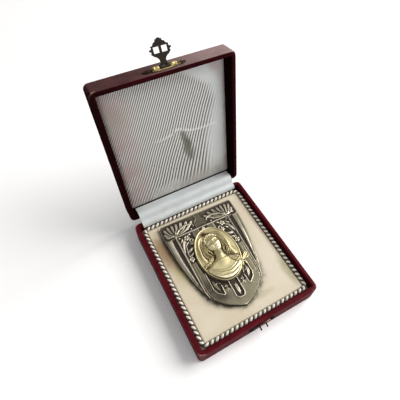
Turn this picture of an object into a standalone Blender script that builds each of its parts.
# A commemorative medal, a shield plaque with a gilt oval portrait, lying in its open hinged box.
# Metres, +Z up. X runs along the hinge, the catch faces -Y, the origin is under the middle of the box.
import math

import bmesh
import bpy
from mathutils import Matrix, Vector

# Box
CASE_WIDTH = 0.0800
CASE_DEPTH = 0.0915
BASE_HEIGHT = 0.0143
LID_HEIGHT = 0.0110
WALL = 0.0030
BASE_FLOOR = 0.0022
LID_PANEL = 0.0018
CORNER_RADIUS = 0.0030
EDGE_RADIUS = 0.0008
CLEARANCE = 0.0003
LID_OPEN = math.radians(99.7)

# Pad, cord and linings
CORD_DIAMETER = 0.0024
CORD_WALL_GAP = 0.0004
CORD_CORNER = 0.0034
PAD_RISE = 0.0082
PAD_LEDGE_DROP = 0.0014
PAD_EDGE_RADIUS = 0.0005
LINING_THICKNESS = 0.0022
LINING_EDGE_RADIUS = 0.0009
FLAP_WIDTH = 0.0690
FLAP_THICKNESS = 0.0010
FLAP_LID_REACH = 0.0052
FLAP_BASE_DROP = 0.0006

# Box hinge
KNUCKLE_RADIUS = 0.00115
HINGE_PIN_RADIUS = 0.00045
HINGE_BORE_RADIUS = 0.00078
HINGE_LENGTH = 0.0640
KNUCKLE_COUNT = 5
HINGE_LEAF_THICKNESS = 0.0005
HINGE_LEAF_HEIGHT = 0.0048

# Clasp on the lid and catch on the base
CLASP_PLATE_LENGTH = 0.0238
CLASP_PLATE_HEIGHT = 0.0030
CLASP_PLATE_THICKNESS = 0.0005
CLASP_BARREL_LENGTH = 0.0126
CLASP_BARREL_RADIUS = 0.0011
CLASP_BORE_RADIUS = 0.00078
CLASP_PIN_RADIUS = 0.00045
CLASP_HEIGHT_ON_LID = 0.0021
HASP_WIDTH = 0.0115
HASP_LENGTH = 0.0130
HASP_THICKNESS = 0.0008
HASP_NECK_WIDTH = 0.0046
HASP_KNUCKLE_LENGTH = 0.0058
HASP_WINDOW_WIDTH = 0.0031
HASP_WINDOW_HEIGHT = 0.0029
HASP_WINDOW_SPACING = 0.0042
HASP_WINDOW_DISTANCE = 0.0078
HASP_STANDOFF = 0.0004
HASP_OPEN = math.radians(108.0)
CATCH_PLATE_LENGTH = 0.0180
CATCH_PLATE_HEIGHT = 0.0030
HOOK_WIRE_DIAMETER = 0.0008
HOOK_REACH = 0.0021
HOOK_TURN = 0.0008
NAIL_RADIUS = 0.0007
NAIL_RADII = (NAIL_RADIUS, NAIL_RADIUS * 0.6, NAIL_RADIUS)

# Medal
MEDAL_WIDTH = 0.0534
MEDAL_HEIGHT = 0.0700
MEDAL_THICKNESS = 0.0020
MEDAL_TOP_CORNER = 0.0020
MEDAL_TURN = math.radians(-1.6)
MEDAL_TOP_MARGIN = 0.0092
MEDAL_SHIFT = -0.0004
BAND_HEIGHT = 0.0108
PANEL_WIDTH = 0.0374
PANEL_FOOT_WIDTH = 0.0352
PANEL_FOOT_DROP = 0.0560
RIDGE_WIDTH = 0.0008
RIDGE_RISE = 0.0005
WING_EDGE = 0.0013
WING_BAND_WIDTH = 0.0031
LEAF_RISE = 0.0008
POCKET_DEPTH = 0.0005
OVAL_WIDTH = 0.0272
OVAL_HEIGHT = 0.0384
OVAL_CENTRE_DROP = 0.0336
OVAL_THICKNESS = 0.0014
OVAL_SEAT_DEPTH = 0.0002
OVAL_RIM_RADIUS = 0.0005
HEAD_HEIGHT = 0.0118
HEAD_WIDTH = 0.0086
HEAD_RISE = 0.0026
HEAD_SINK = 0.03
SHOULDER_RISE = 0.35
LOCK_RADIUS = 0.0012
HEAD_TILT = math.radians(11.0)

# Shield outline down to its shoulders, then on to its tip:
# share of the medal's height down from its top, share of its half width
SHIELD_SIDE = [
    (0.00, 1.000),
    (0.21, 0.990),
    (0.38, 0.945),
    (0.51, 0.890),
    (0.645, 0.820),
    (0.735, 0.752),
    (0.806, 0.676),
]
SHIELD_FOOT = [
    (0.806, 0.676),
    (0.855, 0.590),
    (0.920, 0.415),
    (0.970, 0.200),
    (1.000, 0.000),
]

# Fan of leaves: angle from upright towards the middle in degrees, length and width as shares of the band
FAN_LEAVES = [
    (-72.0, 0.56, 0.20),
    (-46.0, 0.78, 0.21),
    (-21.0, 0.86, 0.21),
    (4.0, 0.88, 0.22),
    (29.0, 0.97, 0.22),
    (53.0, 1.14, 0.23),
    (73.0, 1.32, 0.22),
]

# Side sprays: share of the panel's half width out, share of the medal's height down,
# angle from upright towards the middle in degrees, length and width as shares of the band
SPRAY_LEAVES = [
    (0.80, 0.205, 48.0, 0.52, 0.26),
    (0.88, 0.265, 12.0, 0.58, 0.22),
    (0.76, 0.285, 62.0, 0.42, 0.24),
    (0.90, 0.345, -8.0, 0.50, 0.20),
    (0.86, 0.415, 20.0, 0.50, 0.18),
]

# Side blossoms: share of the panel's half width out, share of the medal's height down,
# radius as a share of the band
BLOSSOMS = [
    (0.66, 0.195, 0.13),
    (0.90, 0.385, 0.11),
]

# Drop-shaped pocket beside the tip: shares of the panel's half width out and of the medal's height down
SIDE_POCKET = [
    (0.66, 0.640),
    (0.62, 0.770),
    (0.52, 0.820),
    (0.42, 0.842),
    (0.37, 0.800),
    (0.39, 0.735),
]

# Pocket over the tip, right half
TIP_POCKET = [
    (0.165, 0.775),
    (0.165, 0.880),
    (0.120, 0.905),
    (0.000, 0.918),
]

# Hasp outline from the barrel outwards: share of its length, share of its half width
HASP_OUTLINE = [
    (0.10, 0.40),
    (0.20, 0.36),
    (0.30, 0.50),
    (0.40, 0.80),
    (0.50, 0.92),
    (0.56, 0.90),
    (0.60, 1.00),
    (0.66, 0.88),
    (0.80, 0.60),
    (0.86, 0.46),
    (0.91, 0.34),
    (1.00, 0.12),
]

# Right half of a clasp strip, from its straight middle to its pointed end:
# shares of half its length and half its height
STRIP_END = [
    (0.50, 1.00),
    (0.60, 0.55),
    (0.72, 0.85),
    (0.84, 0.80),
    (0.92, 0.40),
    (1.00, 0.12),
]

# Right edge of the keystone in the top band: share of the panel's half width, share of the band's height down
KEYSTONE = [
    (0.10, 0.10),
    (0.10, 0.45),
    (0.24, 0.62),
    (0.24, 1.00),
]

# Top of the shoulders from right to left: shares of the oval's width and height from its centre
SHOULDER_LINE = [
    (0.40, -0.215),
    (0.30, -0.150),
    (0.16, -0.115),
    (0.07, -0.070),
    (-0.07, -0.070),
    (-0.16, -0.110),
    (-0.30, -0.140),
    (-0.40, -0.205),
]

# Hair locks on the portrait: points across, up and out as shares of the head's width, height and rise
HAIR_LOCKS = [
    [(-0.10, 0.52, 0.50), (-0.46, 0.40, 0.44),
     (-0.66, 0.06, 0.34), (-0.62, -0.34, 0.24), (-0.92, -0.86, 0.12)],
    [(-0.06, 0.46, 0.74), (-0.38, 0.30, 0.70),
     (-0.50, -0.02, 0.54), (-0.46, -0.40, 0.36), (-0.62, -0.74, 0.22)],
    [(0.10, 0.46, 0.74), (0.40, 0.28, 0.70),
     (0.50, -0.04, 0.54), (0.52, -0.42, 0.36), (0.76, -0.80, 0.26)],
    [(0.14, 0.52, 0.50), (0.48, 0.38, 0.44),
     (0.68, 0.02, 0.34), (0.76, -0.46, 0.24), (1.12, -0.92, 0.16)],
]

AXIS_Y = CASE_DEPTH / 2 + CLEARANCE + KNUCKLE_RADIUS
AXIS_Z = BASE_HEIGHT + CLEARANCE / 2
LID_LOW = BASE_HEIGHT + CLEARANCE
LID_HIGH = LID_LOW + LID_HEIGHT
LID_INNER_TOP = LID_HIGH - LID_PANEL
INNER_WIDTH = CASE_WIDTH - 2 * WALL
INNER_DEPTH = CASE_DEPTH - 2 * WALL
INNER_RADIUS = max(CORNER_RADIUS - WALL * 0.5, 0.0008)
PAD_LOW = BASE_FLOOR + CLEARANCE
PAD_TOP = BASE_FLOOR + PAD_RISE
PAD_LEDGE = PAD_TOP - PAD_LEDGE_DROP
CORD_RADIUS = CORD_DIAMETER / 2
CORD_HALF_X = INNER_WIDTH / 2 - CORD_WALL_GAP - CORD_RADIUS
CORD_HALF_Y = INNER_DEPTH / 2 - CORD_WALL_GAP - CORD_RADIUS
CORD_Z = PAD_LEDGE + CLEARANCE + CORD_RADIUS
MEDAL_TOP_Y = CASE_DEPTH / 2 - MEDAL_TOP_MARGIN
MEDAL_Z = PAD_TOP + CLEARANCE
OVAL_Z = MEDAL_THICKNESS - OVAL_SEAT_DEPTH + CLEARANCE
CLASP_AXIS_Y = -(CASE_DEPTH / 2 + CLEARANCE + CLASP_BARREL_RADIUS)
CLASP_AXIS_Z = LID_LOW + CLASP_HEIGHT_ON_LID
HASP_BACK_Y = -(CASE_DEPTH / 2 + CLEARANCE + CLASP_PLATE_THICKNESS + HASP_STANDOFF)
WINDOW_Z = CLASP_AXIS_Z - HASP_WINDOW_DISTANCE
LID_ORIGIN = (0.0, AXIS_Y, AXIS_Z)
HASP_ORIGIN = (0.0, CLASP_AXIS_Y, CLASP_AXIS_Z)


def clear_scene():
    for obj in list(bpy.data.objects):
        bpy.data.objects.remove(obj, do_unlink=True)


def make_collection(name):
    collection = bpy.data.collections.new(name)
    bpy.context.scene.collection.children.link(collection)
    return collection


def make_material(name, color, roughness, metallic=0.0):
    material = bpy.data.materials.new(name)
    material.use_nodes = True
    shader = material.node_tree.nodes["Principled BSDF"]
    shader.inputs["Base Color"].default_value = (*color, 1.0)
    shader.inputs["Roughness"].default_value = roughness
    shader.inputs["Metallic"].default_value = metallic
    return material


def move_to(obj, collection):
    for old in list(obj.users_collection):
        old.objects.unlink(obj)
    collection.objects.link(obj)


def as_tool(obj):
    move_to(obj, tools)
    obj.hide_render = True
    obj.display_type = "WIRE"
    return obj


def as_part(obj, material):
    move_to(obj, parts)
    obj.data.materials.clear()
    obj.data.materials.append(material)
    obj.data.shade_smooth()
    obj.data.set_sharp_from_angle(angle=math.radians(35))
    return obj


def with_tools(obj):
    found = [obj]
    for modifier in obj.modifiers:
        if modifier.type == "BOOLEAN":
            found += with_tools(modifier.object)
    return found


def hang(obj, pivot, origin):
    # Parent an object and the tools that shape it; origin is the pivot's place in the drawing
    for item in with_tools(obj):
        item.parent = pivot
        item.matrix_parent_inverse = Matrix.Translation(-Vector(origin))
    return obj


def boolean(target, tool, operation, solver="EXACT"):
    modifier = target.modifiers.new(operation.lower(), "BOOLEAN")
    modifier.operation = operation
    modifier.solver = solver
    modifier.object = as_tool(tool)
    return target


def fuse(target, pieces, solver="EXACT"):
    for piece in pieces:
        boolean(target, piece, "UNION", solver)
    return target


def soften(obj, width, segments=2, angle=50.0):
    modifier = obj.modifiers.new("soft edges", "BEVEL")
    modifier.width = width
    modifier.segments = segments
    modifier.limit_method = "ANGLE"
    modifier.angle_limit = math.radians(angle)
    return obj


def block(name, low, high):
    bpy.ops.mesh.primitive_cube_add(size=1.0)
    obj = bpy.context.object
    obj.name = name
    low, high = Vector(low), Vector(high)
    obj.data.transform(Matrix.Translation((low + high) / 2) @ Matrix.Diagonal((high - low).to_4d()))
    return obj


def rounded_block(name, width, depth, low, high, radius, segments=4):
    obj = block(name, (-width / 2, -depth / 2, low), (width / 2, depth / 2, high))
    mesh = bmesh.new()
    mesh.from_mesh(obj.data)
    upright = [edge for edge in mesh.edges if abs(edge.verts[0].co.z - edge.verts[1].co.z) > 1e-5]
    bmesh.ops.bevel(mesh, geom=upright, offset=radius, segments=segments, profile=0.5, affect="EDGES")
    mesh.to_mesh(obj.data)
    mesh.free()
    return obj


def cylinder_x(name, radius, x_low, x_high, y, z, sides=16):
    bpy.ops.mesh.primitive_cylinder_add(vertices=sides, radius=radius, depth=x_high - x_low)
    obj = bpy.context.object
    obj.name = name
    turn = Matrix.Rotation(math.pi / 2, 4, "Y")
    obj.data.transform(Matrix.Translation(((x_low + x_high) / 2, y, z)) @ turn)
    return obj


def ellipsoid(name, centre, radii, turn=0.0, sides=10, rings=6):
    # The sphere's poles lie at its two ends along X, like the tips of a leaf
    bpy.ops.mesh.primitive_uv_sphere_add(segments=sides, ring_count=rings, radius=1.0)
    obj = bpy.context.object
    obj.name = name
    place = Matrix.Translation(centre) @ Matrix.Rotation(turn, 4, "Z")
    poles = Matrix.Rotation(math.pi / 2, 4, "Y")
    obj.data.transform(place @ Matrix.Diagonal((*radii, 1.0)) @ poles)
    return obj


def curve_to_mesh(obj):
    depsgraph = bpy.context.evaluated_depsgraph_get()
    data = bpy.data.meshes.new_from_object(obj.evaluated_get(depsgraph))
    mesh = bmesh.new()
    mesh.from_mesh(data)
    bmesh.ops.remove_doubles(mesh, verts=mesh.verts, dist=1e-6)
    mesh.to_mesh(data)
    mesh.free()
    name = obj.name
    place = obj.matrix_world.copy()
    bpy.data.objects.remove(obj, do_unlink=True)
    solid = bpy.data.objects.new(name, data)
    solid.matrix_world = place
    parts.objects.link(solid)
    return solid


def outline_solid(name, points, low, high):
    # A flat outline in X and Y, extruded from low to high
    data = bpy.data.curves.new(name, "CURVE")
    data.dimensions = "2D"
    data.fill_mode = "BOTH"
    data.extrude = (high - low) / 2
    spline = data.splines.new("POLY")
    spline.points.add(len(points) - 1)
    for point, (x, y) in zip(spline.points, points):
        point.co = (x, y, 0.0, 1.0)
    spline.use_cyclic_u = True
    obj = bpy.data.objects.new(name, data)
    parts.objects.link(obj)
    solid = curve_to_mesh(obj)
    solid.data.transform(Matrix.Translation((0.0, 0.0, (low + high) / 2)))
    return solid


def tube(name, points, radius, cyclic=False, resolution=2):
    data = bpy.data.curves.new(name, "CURVE")
    data.dimensions = "3D"
    data.bevel_depth = radius
    data.bevel_resolution = resolution
    data.use_fill_caps = not cyclic
    spline = data.splines.new("POLY")
    spline.points.add(len(points) - 1)
    for point, place in zip(spline.points, points):
        point.co = (*place, 1.0)
    spline.use_cyclic_u = cyclic
    obj = bpy.data.objects.new(name, data)
    parts.objects.link(obj)
    return obj


def arc(centre, radius, start, end, steps):
    turns = [start + (end - start) * i / steps for i in range(steps + 1)]
    return [(centre[0] + radius * math.cos(a), centre[1] + radius * math.sin(a)) for a in turns]


def rounded_path(half_x, half_y, radius, steps=4):
    points = []
    for index, (sx, sy) in enumerate([(1, 1), (-1, 1), (-1, -1), (1, -1)]):
        start = index * math.pi / 2
        centre = (sx * (half_x - radius), sy * (half_y - radius))
        points += arc(centre, radius, start, start + math.pi / 2, steps)
    return points


def oval_points(width, height, centre_y, count):
    turns = [2 * math.pi * i / count for i in range(count)]
    return [(width / 2 * math.cos(a), centre_y + height / 2 * math.sin(a)) for a in turns]


def base_tray():
    tray = rounded_block("base_tray", CASE_WIDTH, CASE_DEPTH, 0.0, BASE_HEIGHT, CORNER_RADIUS)
    above = BASE_HEIGHT + WALL
    hollow = rounded_block("base_hollow", INNER_WIDTH, INNER_DEPTH, BASE_FLOOR, above, INNER_RADIUS)
    boolean(tray, hollow, "DIFFERENCE")
    soften(tray, EDGE_RADIUS)
    return as_part(tray, leatherette)


def base_pad():
    side = 2 * CLEARANCE
    pad = rounded_block("base_pad", INNER_WIDTH - side, INNER_DEPTH - side, PAD_LOW, PAD_LEDGE, INNER_RADIUS)
    inset = 2 * (CORD_WALL_GAP + CORD_DIAMETER + CLEARANCE)
    corner = max(CORD_CORNER - CORD_RADIUS - CLEARANCE, PAD_EDGE_RADIUS)
    low = PAD_LOW + CLEARANCE
    fuse(pad, [rounded_block("pad_platform", INNER_WIDTH - inset, INNER_DEPTH - inset, low, PAD_TOP, corner)])
    soften(pad, PAD_EDGE_RADIUS)
    return as_part(pad, silk_cream)


def cord_trim():
    path = [(x, y, CORD_Z) for x, y in rounded_path(CORD_HALF_X, CORD_HALF_Y, CORD_CORNER)]
    return as_part(curve_to_mesh(tube("cord_trim", path, CORD_RADIUS, cyclic=True)), cord_thread)


def smooth(rows, steps):
    # Catmull-Rom curve through a table's rows
    ends = [Vector(row) for row in rows]
    ends = [2 * ends[0] - ends[1]] + ends + [2 * ends[-1] - ends[-2]]
    points = []
    for a, b, c, d in zip(ends, ends[1:], ends[2:], ends[3:]):
        for i in range(steps):
            t = i / steps
            points.append(0.5 * (2 * b + (c - a) * t + (2 * a - 5 * b + 4 * c - d) * t ** 2
                                 + (3 * b - a - 3 * c + d) * t ** 3))
    return points + [ends[-2]]


def shield_rows():
    return [tuple(row) for row in smooth(SHIELD_SIDE, 3) + smooth(SHIELD_FOOT, 2)[1:]]


def side_at(down):
    rows = shield_rows()
    for (low, wide), (high, narrow) in zip(rows, rows[1:]):
        if down <= high:
            return (wide + (narrow - wide) * (down - low) / (high - low)) * MEDAL_WIDTH / 2
    return 0.0


def shield_outline():
    half = MEDAL_WIDTH / 2
    corner = arc((half - MEDAL_TOP_CORNER, -MEDAL_TOP_CORNER), MEDAL_TOP_CORNER, math.pi / 2, 0.0, 4)
    start = 1.5 * MEDAL_TOP_CORNER / MEDAL_HEIGHT
    right = corner + [(share * half, -down * MEDAL_HEIGHT) for down, share in shield_rows() if down > start]
    left = [(-x, y) for x, y in reversed(right[:-1])]
    return right + left


def panel_at(down):
    # Half width of the inner panel, which narrows from the band to its foot
    start = BAND_HEIGHT / MEDAL_HEIGHT
    share = (down - start) / (PANEL_FOOT_DROP / MEDAL_HEIGHT - start)
    return (PANEL_WIDTH + (PANEL_FOOT_WIDTH - PANEL_WIDTH) * share) / 2


def ridge(name, start, end, width, low, high):
    run = Vector(end) - Vector(start)
    across = Vector((-run.y, run.x)).normalized() * width / 2
    along = run.normalized() * width / 2
    corners = [
        Vector(start) - along + across, Vector(start) - along - across,
        Vector(end) + along - across, Vector(end) + along + across,
    ]
    return outline_solid(name, [tuple(corner) for corner in corners], low, high)


def wing_band(side):
    top = (BAND_HEIGHT + RIDGE_WIDTH) / MEDAL_HEIGHT
    outer = []
    inner = []
    for down in [top] + [row[0] for row in shield_rows()[::2] if row[0] > top]:
        far = side_at(down) - WING_EDGE
        near = max(far - WING_BAND_WIDTH, panel_at(down) + RIDGE_WIDTH * 0.75)
        if far - near > RIDGE_WIDTH / 4:
            outer.append((side * far, -down * MEDAL_HEIGHT))
            inner.append((side * near, -down * MEDAL_HEIGHT))
    low = MEDAL_THICKNESS - RIDGE_RISE
    high = MEDAL_THICKNESS + RIDGE_RISE
    return outline_solid("wing_band", outer + inner[::-1], low, high)


def leaf(name, root, angle, length, width, side):
    lean = math.radians(angle)
    tip = Vector((-side * math.sin(lean), math.cos(lean))) * length
    centre = Vector(root) + tip / 2
    turn = math.atan2(tip.y, tip.x)
    place = (centre.x, centre.y, MEDAL_THICKNESS - LEAF_RISE * 0.1)
    return ellipsoid(name, place, (length / 2, width / 2, LEAF_RISE), turn)


def fan(side):
    root = (side * PANEL_WIDTH / 2, -BAND_HEIGHT)
    return [
        leaf(f"fan_leaf_{number}", root, angle, length * BAND_HEIGHT, width * BAND_HEIGHT, side)
        for number, (angle, length, width) in enumerate(FAN_LEAVES)
    ]


def sprays(side):
    pieces = []
    half = PANEL_WIDTH / 2
    for number, (out, down, angle, length, width) in enumerate(SPRAY_LEAVES):
        root = (side * out * half, -down * MEDAL_HEIGHT)
        pieces.append(leaf(f"spray_{number}", root, angle, length * BAND_HEIGHT, width * BAND_HEIGHT, side))
    for number, (out, down, radius) in enumerate(BLOSSOMS):
        place = (side * out * half, -down * MEDAL_HEIGHT, MEDAL_THICKNESS - LEAF_RISE * 0.1)
        size = radius * BAND_HEIGHT
        pieces.append(ellipsoid(f"blossom_{number}", place, (size, size, LEAF_RISE)))
    return pieces


def pocket(name, points):
    half = PANEL_WIDTH / 2
    outline = [(out * half, -down * MEDAL_HEIGHT) for out, down in points]
    return outline_solid(name, outline, MEDAL_THICKNESS - POCKET_DEPTH, MEDAL_THICKNESS + POCKET_DEPTH)


def medal_plate(pivot):
    plate = outline_solid("medal_plate", shield_outline(), 0.0, MEDAL_THICKNESS)
    low = MEDAL_THICKNESS - RIDGE_RISE
    high = MEDAL_THICKNESS + RIDGE_RISE
    panel = PANEL_WIDTH / 2
    pieces = [ridge("band_border", (-panel, -BAND_HEIGHT), (panel, -BAND_HEIGHT), RIDGE_WIDTH, low, high)]
    key_side = [(share * panel, -down * BAND_HEIGHT) for share, down in KEYSTONE]
    key_points = key_side + [(-x, y) for x, y in reversed(key_side)]
    pieces.append(outline_solid("keystone", key_points, low, high + RIDGE_RISE / 2))
    for side in (-1, 1):
        head = (side * panel, -BAND_HEIGHT)
        foot = (side * PANEL_FOOT_WIDTH / 2, -PANEL_FOOT_DROP)
        pieces.append(ridge("panel_border", head, foot, RIDGE_WIDTH, low, high - RIDGE_RISE * 0.04))
        pieces.append(wing_band(side))
        pieces += fan(side)
        pieces += sprays(side)
    fuse(plate, pieces)
    outline = oval_points(OVAL_WIDTH + 2 * CLEARANCE, OVAL_HEIGHT + 2 * CLEARANCE, -OVAL_CENTRE_DROP, 40)
    seat_low = MEDAL_THICKNESS - OVAL_SEAT_DEPTH
    seat_high = MEDAL_THICKNESS + 2 * LEAF_RISE
    boolean(plate, outline_solid("oval_seat", outline, seat_low, seat_high), "DIFFERENCE")
    mirrored = [(-out, down) for out, down in TIP_POCKET[:-1]]
    boolean(plate, pocket("tip_pocket", TIP_POCKET + mirrored[::-1]), "DIFFERENCE")
    for side in (-1, 1):
        boolean(plate, pocket("side_pocket", [(side * out, down) for out, down in SIDE_POCKET]), "DIFFERENCE")
    return hang(as_part(plate, patinated_bronze), pivot, (0.0, 0.0, 0.0))


def head_point(across, up, out):
    # A place on the portrait, turned with the head: shares of the head's width, height and rise
    centre = Vector((0.0, -OVAL_CENTRE_DROP + OVAL_HEIGHT * 0.17))
    offset = Matrix.Rotation(HEAD_TILT, 2) @ Vector((across * HEAD_WIDTH, up * HEAD_HEIGHT))
    place = centre + offset
    return (place.x, place.y, OVAL_Z + OVAL_THICKNESS + (out - HEAD_SINK) * HEAD_RISE)


def face_piece(name, across, up, out, width, height, rise, sides=10, rings=6):
    radii = (width * HEAD_WIDTH / 2, height * HEAD_HEIGHT / 2, rise * HEAD_RISE)
    return ellipsoid(name, head_point(across, up, out), radii, HEAD_TILT, sides, rings)


def shoulders():
    # Draped shoulders that fill the foot of the oval
    reach = 0.5 - 1.6 * OVAL_RIM_RADIUS / OVAL_WIDTH
    foot = arc((0.0, 0.0), reach, math.radians(208.0), math.radians(332.0), 10)
    crown = [tuple(row) for row in smooth(SHOULDER_LINE, 2)]
    points = [(x * OVAL_WIDTH, y * OVAL_HEIGHT - OVAL_CENTRE_DROP) for x, y in foot + crown]
    low = OVAL_Z + OVAL_THICKNESS / 2
    high = OVAL_Z + OVAL_THICKNESS + HEAD_RISE * SHOULDER_RISE
    solid = outline_solid("shoulders", points, low, high)
    return soften(solid, HEAD_RISE * SHOULDER_RISE * 0.6)


def portrait():
    # Head, neck and hair as one form, cut off inside the oval's thickness
    form = face_piece("hair_cap", 0.0, 0.14, 0.0, 1.16, 0.98, 0.86, 14, 8)
    pieces = [
        face_piece("neck", 0.04, -0.62, 0.10, 0.50, 0.72, 0.55),
        face_piece("head", 0.0, -0.02, 0.0, 0.84, 0.98, 1.0, 14, 8),
        face_piece("brow", 0.0, 0.10, 0.86, 0.50, 0.10, 0.12),
        face_piece("nose", 0.0, -0.06, 0.90, 0.12, 0.26, 0.20),
        face_piece("lips", 0.0, -0.24, 0.84, 0.22, 0.06, 0.12),
        face_piece("chin", 0.0, -0.36, 0.62, 0.28, 0.16, 0.22),
    ]
    for number, lock in enumerate(HAIR_LOCKS):
        path = [head_point(*point) for point in smooth(lock, 2)]
        strand = tube(f"lock_{number}", path, LOCK_RADIUS, resolution=1)
        pieces.append(curve_to_mesh(strand))
    # The exact solver leaves slits where this many round forms meet
    fuse(form, pieces, "MANIFOLD")
    reach = OVAL_HEIGHT
    low = (-reach, -OVAL_CENTRE_DROP - reach, OVAL_Z - reach)
    high = (reach, -OVAL_CENTRE_DROP + reach, OVAL_Z + OVAL_THICKNESS / 2)
    return boolean(form, block("below_portrait", low, high), "DIFFERENCE", "MANIFOLD")


def medal_oval(pivot):
    outline = oval_points(OVAL_WIDTH, OVAL_HEIGHT, -OVAL_CENTRE_DROP, 40)
    body = outline_solid("medal_oval", outline, OVAL_Z, OVAL_Z + OVAL_THICKNESS)
    inset = 2.2 * OVAL_RIM_RADIUS
    ring = oval_points(OVAL_WIDTH - inset, OVAL_HEIGHT - inset, -OVAL_CENTRE_DROP, 40)
    rim_z = OVAL_Z + OVAL_THICKNESS - OVAL_RIM_RADIUS * 0.15
    rim = tube("oval_rim", [(x, y, rim_z) for x, y in ring], OVAL_RIM_RADIUS, True, 1)
    fuse(body, [curve_to_mesh(rim), shoulders(), portrait()], "MANIFOLD")
    return hang(as_part(body, gilt_bronze), pivot, (0.0, 0.0, 0.0))


def knuckle_spans():
    gap = CLEARANCE
    length = (HINGE_LENGTH - (KNUCKLE_COUNT - 1) * gap) / KNUCKLE_COUNT
    for number in range(KNUCKLE_COUNT):
        low = -HINGE_LENGTH / 2 + number * (length + gap)
        yield number, low, low + length


def leaf_plate(name, way):
    # Leaf on the outside of the back wall; way is -1 for the base's and 1 for the lid's
    near = KNUCKLE_RADIUS + CLEARANCE
    far = near + HINGE_LEAF_HEIGHT
    low, high = sorted((AXIS_Z + way * near, AXIS_Z + way * far))
    face = CASE_DEPTH / 2 + CLEARANCE
    half = HINGE_LENGTH / 2
    return block(name, (-half, face, low), (half, face + HINGE_LEAF_THICKNESS, high))


def leaf_tab(name, x_low, x_high, way):
    inner = AXIS_Z + way * KNUCKLE_RADIUS * 0.5
    outer = AXIS_Z + way * (KNUCKLE_RADIUS + CLEARANCE + HINGE_LEAF_THICKNESS)
    low, high = sorted((inner, outer))
    face = CASE_DEPTH / 2 + CLEARANCE
    sink = HINGE_LEAF_THICKNESS * 0.04
    front = face + HINGE_LEAF_THICKNESS - sink
    return block(name, (x_low + sink, face + sink, low), (x_high - sink, front, high))


def base_hinge_leaf():
    body = leaf_plate("base_hinge_leaf", -1)
    pieces = []
    for number, low, high in knuckle_spans():
        if number % 2 == 0:
            pieces.append(cylinder_x(f"base_knuckle_{number}", KNUCKLE_RADIUS, low, high, AXIS_Y, AXIS_Z))
            pieces.append(leaf_tab(f"base_tab_{number}", low, high, -1))
    half = HINGE_LENGTH / 2 - CLEARANCE
    pieces.append(cylinder_x("hinge_pin", HINGE_PIN_RADIUS, -half, half, AXIS_Y, AXIS_Z, 12))
    fuse(body, pieces)
    return as_part(body, hinge_metal)


def lid_hinge_leaf(pivot):
    body = leaf_plate("lid_hinge_leaf", 1)
    pieces = []
    for number, low, high in knuckle_spans():
        if number % 2 == 1:
            pieces.append(cylinder_x(f"lid_knuckle_{number}", KNUCKLE_RADIUS, low, high, AXIS_Y, AXIS_Z))
            pieces.append(leaf_tab(f"lid_tab_{number}", low, high, 1))
    fuse(body, pieces)
    half = HINGE_LENGTH / 2
    bore = cylinder_x("lid_hinge_bore", HINGE_BORE_RADIUS, -half, half, AXIS_Y, AXIS_Z, 12)
    boolean(body, bore, "DIFFERENCE")
    return hang(as_part(body, hinge_metal), pivot, LID_ORIGIN)


def plate_with_ends(name, length, height, y_front, y_back, z_centre):
    # Ornamental strip: a straight middle and waisted, pointed ends with a nail in each
    half = length / 2
    rise = height / 2
    right = [(half * x, rise * y) for x, y in STRIP_END]
    outline = right + [(x, -y) for x, y in reversed(right)]
    outline += [(-x, -y) for x, y in right] + [(-x, y) for x, y in reversed(right)]
    solid = outline_solid(name, outline, 0.0, y_back - y_front)
    solid.data.transform(Matrix.Translation((0.0, y_back, z_centre)) @ Matrix.Rotation(math.pi / 2, 4, "X"))
    return solid


def nails(length, y_front, z_centre):
    return [
        ellipsoid("nail", (side * length * 0.39, y_front + NAIL_RADIUS * 0.1, z_centre), NAIL_RADII)
        for side in (-1, 1)
    ]


def clasp_plate(pivot):
    back = -(CASE_DEPTH / 2 + CLEARANCE)
    front = back - CLASP_PLATE_THICKNESS
    centre = LID_LOW + CLASP_HEIGHT_ON_LID + CLASP_PLATE_HEIGHT * 0.32
    body = plate_with_ends("clasp_plate", CLASP_PLATE_LENGTH, CLASP_PLATE_HEIGHT, front, back, centre)
    pieces = nails(CLASP_PLATE_LENGTH, front, centre)
    room = HASP_KNUCKLE_LENGTH / 2 + CLEARANCE
    for side in (-1, 1):
        low, high = sorted((side * room, side * CLASP_BARREL_LENGTH / 2))
        pieces.append(cylinder_x("clasp_knuckle", CLASP_BARREL_RADIUS, low, high, CLASP_AXIS_Y, CLASP_AXIS_Z))
    half = CLASP_BARREL_LENGTH / 2 - CLEARANCE
    pieces.append(cylinder_x("clasp_pin", CLASP_PIN_RADIUS, -half, half, CLASP_AXIS_Y, CLASP_AXIS_Z, 12))
    fuse(body, pieces)
    reach = CLASP_BARREL_RADIUS + CLEARANCE
    slot = cylinder_x("knuckle_room", reach, -room, room, CLASP_AXIS_Y, CLASP_AXIS_Z, 16)
    past = room * 1.1
    core = cylinder_x("pin_core", CLASP_PIN_RADIUS * 0.98, -past, past, CLASP_AXIS_Y, CLASP_AXIS_Z, 12)
    boolean(slot, core, "DIFFERENCE")
    boolean(body, slot, "DIFFERENCE")
    return hang(as_part(body, clasp_brass), pivot, LID_ORIGIN)


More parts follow.
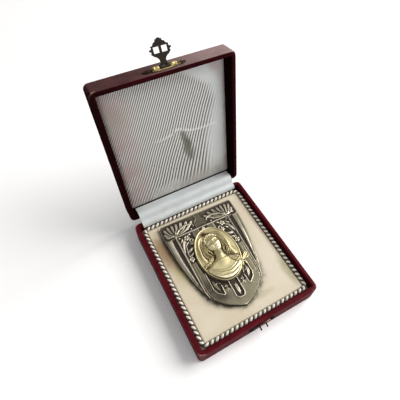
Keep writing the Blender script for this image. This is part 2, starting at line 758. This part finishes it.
def hasp(pivot):
    # Drawn hanging closed below its barrel, then swung open with its empty
    half = HASP_WIDTH / 2
    right = [(share * half, -along * HASP_LENGTH) for along, share in HASP_OUTLINE]
    start = HASP_NECK_WIDTH / 2
    outline = [(start, -CLASP_BARREL_RADIUS * 0.2)] + right
    outline += [(-x, y) for x, y in reversed(right)] + [(-start, -CLASP_BARREL_RADIUS * 0.2)]
    body = outline_solid("hasp", outline, 0.0, HASP_THICKNESS)
    for side in (-1, 1):
        x = side * HASP_WINDOW_SPACING / 2
        y = -HASP_WINDOW_DISTANCE
        w = HASP_WINDOW_WIDTH / 2
        h = HASP_WINDOW_HEIGHT / 2
        deep = HASP_THICKNESS
        window = block("hasp_window", (x - w, y - h, -deep), (x + w, y + h, 2 * deep))
        boolean(body, stand_up(window), "DIFFERENCE")
    stand_up(body)
    long = HASP_KNUCKLE_LENGTH / 2
    bore_half = long + CLEARANCE
    fuse(body, [cylinder_x("hasp_knuckle", CLASP_BARREL_RADIUS, -long, long, CLASP_AXIS_Y, CLASP_AXIS_Z)])
    bore = cylinder_x("hasp_bore", CLASP_BORE_RADIUS, -bore_half, bore_half, CLASP_AXIS_Y, CLASP_AXIS_Z, 12)
    boolean(body, bore, "DIFFERENCE")
    return hang(as_part(body, dark_bronze), pivot, HASP_ORIGIN)


def stand_up(obj):
    # From the drawing plane to hanging under the barrel's axis, its back face clear of the catch plate
    place = Matrix.Translation((0.0, HASP_BACK_Y, CLASP_AXIS_Z))
    obj.data.transform(place @ Matrix.Rotation(math.pi / 2, 4, "X"))
    return obj


def hook(side):
    wall = -(CASE_DEPTH / 2 + CLEARANCE)
    x = side * HASP_WINDOW_SPACING / 2
    z = WINDOW_Z + HOOK_TURN * 0.62
    out = wall - CLASP_PLATE_THICKNESS - HOOK_REACH
    bend = HOOK_TURN * 0.5
    points = [(x, wall - CLASP_PLATE_THICKNESS * 0.5, z), (x, out + bend, z)]
    for angle in (math.pi / 4, math.pi / 2):
        points.append((x, out + bend - bend * math.sin(angle), z - bend + bend * math.cos(angle)))
    points.append((x, out, z - HOOK_TURN))
    return curve_to_mesh(tube("hook", points, HOOK_WIRE_DIAMETER / 2, resolution=2))


def catch_plate():
    back = -(CASE_DEPTH / 2 + CLEARANCE)
    front = back - CLASP_PLATE_THICKNESS
    body = plate_with_ends("catch_plate", CATCH_PLATE_LENGTH, CATCH_PLATE_HEIGHT, front, back, WINDOW_Z)
    fuse(body, nails(CATCH_PLATE_LENGTH, front, WINDOW_Z) + [hook(-1), hook(1)])
    return as_part(body, clasp_brass)


def lid_tray(pivot):
    tray = rounded_block("lid_tray", CASE_WIDTH, CASE_DEPTH, LID_LOW, LID_HIGH, CORNER_RADIUS)
    below = LID_LOW - WALL
    hollow = rounded_block("lid_hollow", INNER_WIDTH, INNER_DEPTH, below, LID_INNER_TOP, INNER_RADIUS)
    boolean(tray, hollow, "DIFFERENCE")
    soften(tray, EDGE_RADIUS)
    return hang(as_part(tray, leatherette), pivot, LID_ORIGIN)


def lid_lining(pivot):
    side = 2 * CLEARANCE
    top = LID_INNER_TOP - CLEARANCE
    low = top - LINING_THICKNESS
    pad = rounded_block("lid_lining", INNER_WIDTH - side, INNER_DEPTH - side, low, top, INNER_RADIUS)
    soften(pad, LINING_EDGE_RADIUS)
    return hang(as_part(pad, silk_white), pivot, LID_ORIGIN)


def opened(y, z):
    # Where a point of the closed lid stands when the lid is open
    place = Matrix.Rotation(-LID_OPEN, 2) @ Vector((y - AXIS_Y, z - AXIS_Z))
    return (AXIS_Y + place.x, AXIS_Z + place.y)


def silk_flap():
    # A ribbon from inside the lid's back wall, over both rims and down inside the base's back wall
    stand = CLEARANCE * 1.6 + FLAP_THICKNESS / 2
    inner = CASE_DEPTH / 2 - WALL - stand
    path = [
        opened(inner, LID_LOW + FLAP_LID_REACH),
        opened(inner, LID_LOW + EDGE_RADIUS),
        opened(inner + stand * 0.5, LID_LOW - stand * 0.8),
        (CASE_DEPTH / 2 + CLEARANCE, BASE_HEIGHT + WALL * 0.62),
        (CASE_DEPTH / 2 - WALL * 0.6, BASE_HEIGHT + stand),
        (inner + stand * 0.3, BASE_HEIGHT + stand * 0.5),
        (inner, BASE_HEIGHT - FLAP_BASE_DROP),
    ]
    data = bpy.data.meshes.new("silk_flap")
    mesh = bmesh.new()
    rows = []
    for y, z in path:
        rows.append([mesh.verts.new((x, y, z)) for x in (-FLAP_WIDTH / 2, FLAP_WIDTH / 2)])
    for first, second in zip(rows, rows[1:]):
        mesh.faces.new((first[0], first[1], second[1], second[0]))
    mesh.to_mesh(data)
    mesh.free()
    ribbon = bpy.data.objects.new("silk_flap", data)
    parts.objects.link(ribbon)
    shell = ribbon.modifiers.new("thickness", "SOLIDIFY")
    shell.thickness = FLAP_THICKNESS
    shell.offset = 0.0
    return as_part(ribbon, silk_white)


def empty_at(name, place, rotation):
    pivot = bpy.data.objects.new(name, None)
    parts.objects.link(pivot)
    pivot.location = place
    pivot.rotation_euler = rotation
    return pivot


clear_scene()
parts = make_collection("commemorative_medal")
tools = make_collection("tools")

leatherette = make_material("oxblood_leatherette", (0.16, 0.018, 0.03), 0.42)
silk_cream = make_material("cream_silk", (0.84, 0.78, 0.64), 0.7)
silk_white = make_material("white_silk", (0.76, 0.74, 0.74), 0.6)
cord_thread = make_material("two_colour_cord", (0.5, 0.46, 0.42), 0.8)
patinated_bronze = make_material("patinated_bronze", (0.30, 0.27, 0.22), 0.4, 1.0)
gilt_bronze = make_material("gilt_bronze", (0.72, 0.62, 0.36), 0.35, 1.0)
hinge_metal = make_material("hinge_metal", (0.62, 0.60, 0.56), 0.4, 1.0)
clasp_brass = make_material("clasp_brass", (0.55, 0.43, 0.20), 0.4, 1.0)
dark_bronze = make_material("dark_bronze", (0.10, 0.09, 0.08), 0.5, 1.0)

medal_pivot = empty_at("medal_pivot", (MEDAL_SHIFT, MEDAL_TOP_Y, MEDAL_Z), (0.0, 0.0, MEDAL_TURN))
lid_pivot = empty_at("lid_pivot", LID_ORIGIN, (-LID_OPEN, 0.0, 0.0))
hasp_pivot = empty_at("hasp_pivot", HASP_ORIGIN, (-HASP_OPEN, 0.0, 0.0))
hang(hasp_pivot, lid_pivot, LID_ORIGIN)

base_tray()
base_pad()
cord_trim()
medal_plate(medal_pivot)
medal_oval(medal_pivot)
base_hinge_leaf()
catch_plate()
silk_flap()
lid_tray(lid_pivot)
lid_lining(lid_pivot)
lid_hinge_leaf(lid_pivot)
clasp_plate(lid_pivot)
hasp(hasp_pivot)
